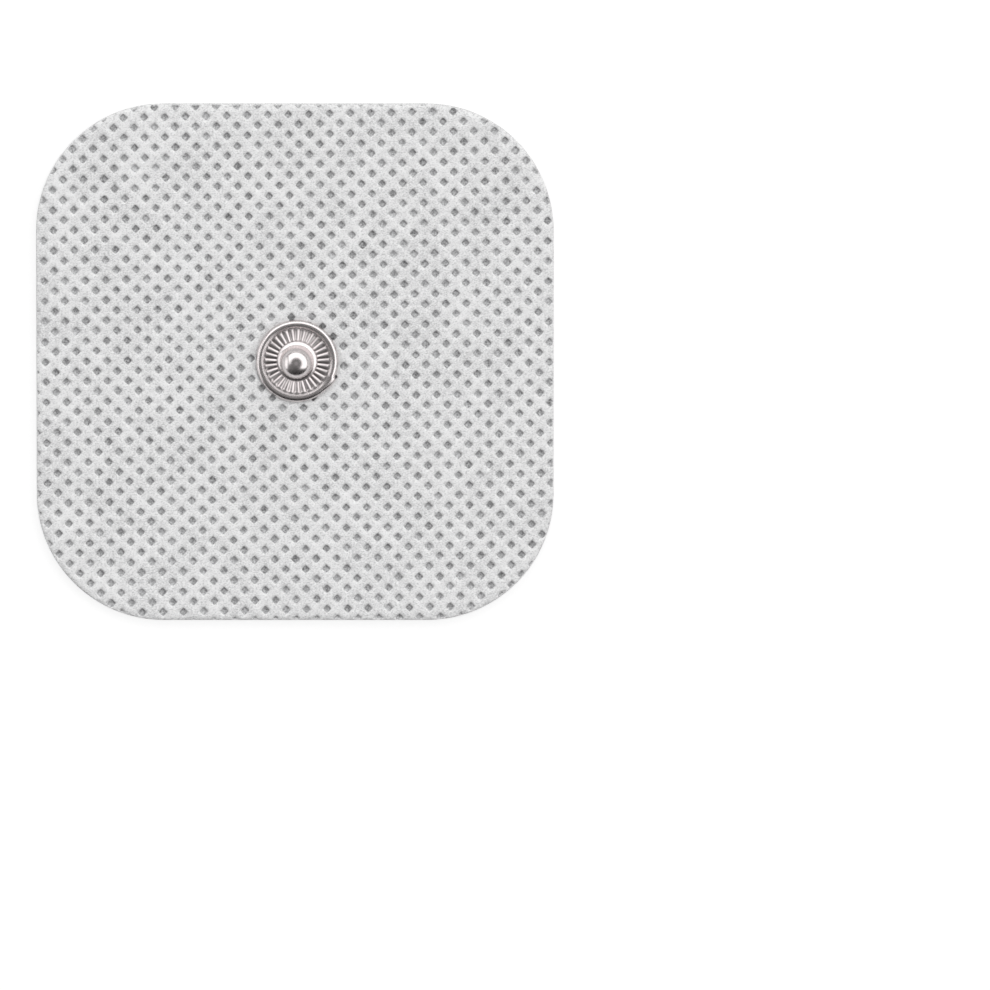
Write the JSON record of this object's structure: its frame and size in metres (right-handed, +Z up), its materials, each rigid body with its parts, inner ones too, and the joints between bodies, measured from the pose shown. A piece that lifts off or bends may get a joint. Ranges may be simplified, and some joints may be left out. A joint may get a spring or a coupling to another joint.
{
  "type": "snap electrode pad",
  "caption": "Flat square stimulation electrode pad with round corners: adhesive gel, carbon film and point-bonded nonwoven cover, with a ribbed metal snap stud in the middle.",
  "frame": {"origin": "middle of the flat underside, the gel face", "axes": "+Z up through the pad towards the stud's head, +X and +Y along the square's sides"},
  "size_m": [0.05, 0.05, 0.0045],
  "materials": {
    "gel": "wet, clear adhesive gel",
    "insulating_film": "satin white film",
    "eyelet_metal": "dull nickel plate",
    "carbon_film": "satin carbon-loaded film",
    "nonwoven": "white spunbond, fused in small diamonds",
    "nickel_plate": "bright nickel plate"
  },
  "bodies": {
    "root": {"gel_sheet": "gel", "insulating_disc": "insulating_film", "snap_eyelet": "eyelet_metal", "carbon_film": "carbon_film", "fabric_cover": "nonwoven", "snap_stud": "nickel_plate"}
  },
  "joints": []
}
